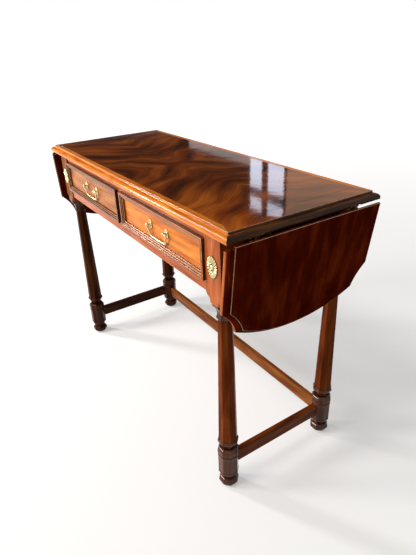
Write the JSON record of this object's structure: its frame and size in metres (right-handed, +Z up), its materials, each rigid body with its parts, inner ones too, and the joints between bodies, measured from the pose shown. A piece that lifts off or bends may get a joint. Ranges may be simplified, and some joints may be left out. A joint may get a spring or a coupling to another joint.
{
  "type": "drop-leaf console table",
  "caption": "Long shallow mahogany wall table with a moulded top, drawers in the front, turned octagonal legs, low stretchers and a shaped drop leaf at each end.",
  "frame": {"origin": "on the floor, under the middle of the table top", "axes": "+Z up; +X along the length of the top, towards its right-hand end as seen from the drawers; the drawers face -Y"},
  "size_m": [1.0102, 0.399, 0.7],
  "materials": {
    "mahogany_top": "gloss",
    "mahogany_leaf": "gloss",
    "mahogany_drawer": "satin",
    "mahogany_rail": "satin",
    "mahogany_turned": "satin",
    "oak_inside": "matte",
    "brass_aged": "satin",
    "brass_fitting": "satin",
    "steel_fitting": "satin"
  },
  "bodies": {
    "table": {"top_panel": "mahogany_top", "top_front_lipping": "mahogany_top", "top_rear_lipping": "mahogany_top", "top_left_lipping": "mahogany_top", "top_right_lipping": "mahogany_top", "front_left_leg": "mahogany_turned", "front_right_leg": "mahogany_turned", "rear_left_leg": "mahogany_turned", "rear_right_leg": "mahogany_turned", "foot_glides": "steel_fitting", "front_top_rail": "mahogany_rail", "front_bottom_rail": "mahogany_rail", "centre_stile": "mahogany_rail", "rear_apron": "mahogany_rail", "left_end_apron": "mahogany_rail", "right_end_apron": "mahogany_rail", "left_stretcher": "mahogany_turned", "right_stretcher": "mahogany_turned", "rear_stretcher": "mahogany_turned", "drawer_runners": "oak_inside", "drawer_kickers": "oak_inside", "drawer_stops": "oak_inside", "corner_blocks": "oak_inside", "rosettes": "brass_aged", "hinge_top_flaps": "steel_fitting", "hinge_pins": "steel_fitting", "stay_apron_brackets": "brass_fitting", "frame_fitting_screws": "steel_fitting", "top_fixing_screws": "steel_fitting"},
    "right_leaf": {"right_leaf": "mahogany_leaf", "right_leaf_hinge_flaps": "steel_fitting", "right_leaf_stay_brackets": "brass_fitting", "right_leaf_screws": "steel_fitting"},
    "right_apron_arms": {"right_stay_apron_arms": "brass_fitting"},
    "right_leaf_arms": {"right_stay_leaf_arms": "brass_fitting"},
    "right_drawer": {"right_drawer_front": "mahogany_drawer", "right_drawer_reeded_frame": "mahogany_drawer", "right_drawer_sides": "oak_inside", "right_drawer_back": "oak_inside", "right_drawer_bottom": "oak_inside", "right_handle_plates": "brass_aged", "right_handle_posts": "brass_aged", "right_handle_nuts": "brass_fitting"},
    "right_bail": {"right_handle_bail": "brass_aged"},
    "left_leaf": {"left_leaf": "mahogany_leaf", "left_leaf_hinge_flaps": "steel_fitting", "left_leaf_stay_brackets": "brass_fitting", "left_leaf_screws": "steel_fitting"},
    "left_apron_arms": {"left_stay_apron_arms": "brass_fitting"},
    "left_leaf_arms": {"left_stay_leaf_arms": "brass_fitting"},
    "left_drawer": {"left_drawer_front": "mahogany_drawer", "left_drawer_reeded_frame": "mahogany_drawer", "left_drawer_sides": "oak_inside", "left_drawer_back": "oak_inside", "left_drawer_bottom": "oak_inside", "left_handle_plates": "brass_aged", "left_handle_posts": "brass_aged", "left_handle_nuts": "brass_fitting"},
    "left_bail": {"left_handle_bail": "brass_aged"}
  },
  "joints": [
    {"name": "right_leaf_hinge", "type": "hinge", "parent": "table", "child": "right_leaf", "pos_m": [0.4845, 0, 0.6795], "axis": [0, -1, 0], "range_deg": [0, 97.3]},
    {"name": "right_apron_arm_pivot", "type": "hinge", "parent": "table", "child": "right_apron_arms", "pos_m": [0.459, 0, 0.605], "axis": [0, -1, 0], "range_deg": [-71.8, 0]},
    {"name": "right_leaf_arm_pivot", "type": "hinge", "parent": "right_leaf", "child": "right_leaf_arms", "pos_m": [0.46084, 0, 0.54592], "axis": [0, -1, 0], "range_deg": [0, 12.5]},
    {"name": "right_drawer_slide", "type": "slide", "parent": "table", "child": "right_drawer", "axis": [0, -1, 0], "range_m": [0, 0.2]},
    {"name": "right_bail_swing", "type": "hinge", "parent": "right_drawer", "child": "right_bail", "pos_m": [0.2037, -0.1896, 0.6195], "axis": [-1, 0, 0], "range_deg": [0, 160]},
    {"name": "left_leaf_hinge", "type": "hinge", "parent": "table", "child": "left_leaf", "pos_m": [-0.4845, 0, 0.6795], "axis": [0, 1, 0], "range_deg": [0, 97.3]},
    {"name": "left_apron_arm_pivot", "type": "hinge", "parent": "table", "child": "left_apron_arms", "pos_m": [-0.459, 0, 0.605], "axis": [0, 1, 0], "range_deg": [-71.8, 0]},
    {"name": "left_leaf_arm_pivot", "type": "hinge", "parent": "left_leaf", "child": "left_leaf_arms", "pos_m": [-0.46084, 0, 0.54592], "axis": [0, 1, 0], "range_deg": [0, 12.5]},
    {"name": "left_drawer_slide", "type": "slide", "parent": "table", "child": "left_drawer", "axis": [0, -1, 0], "range_m": [0, 0.2]},
    {"name": "left_bail_swing", "type": "hinge", "parent": "left_drawer", "child": "left_bail", "pos_m": [-0.2037, -0.1896, 0.6195], "axis": [-1, 0, 0], "range_deg": [0, 160]}
  ],
  "couplings": [
    {"joint": "right_apron_arm_pivot", "follows": "right_leaf_hinge", "ratio": -0.73694},
    {"joint": "right_leaf_arm_pivot", "follows": "right_leaf_hinge", "ratio": 0.12766},
    {"joint": "left_apron_arm_pivot", "follows": "left_leaf_hinge", "ratio": -0.73694},
    {"joint": "left_leaf_arm_pivot", "follows": "left_leaf_hinge", "ratio": 0.12766}
  ]
}
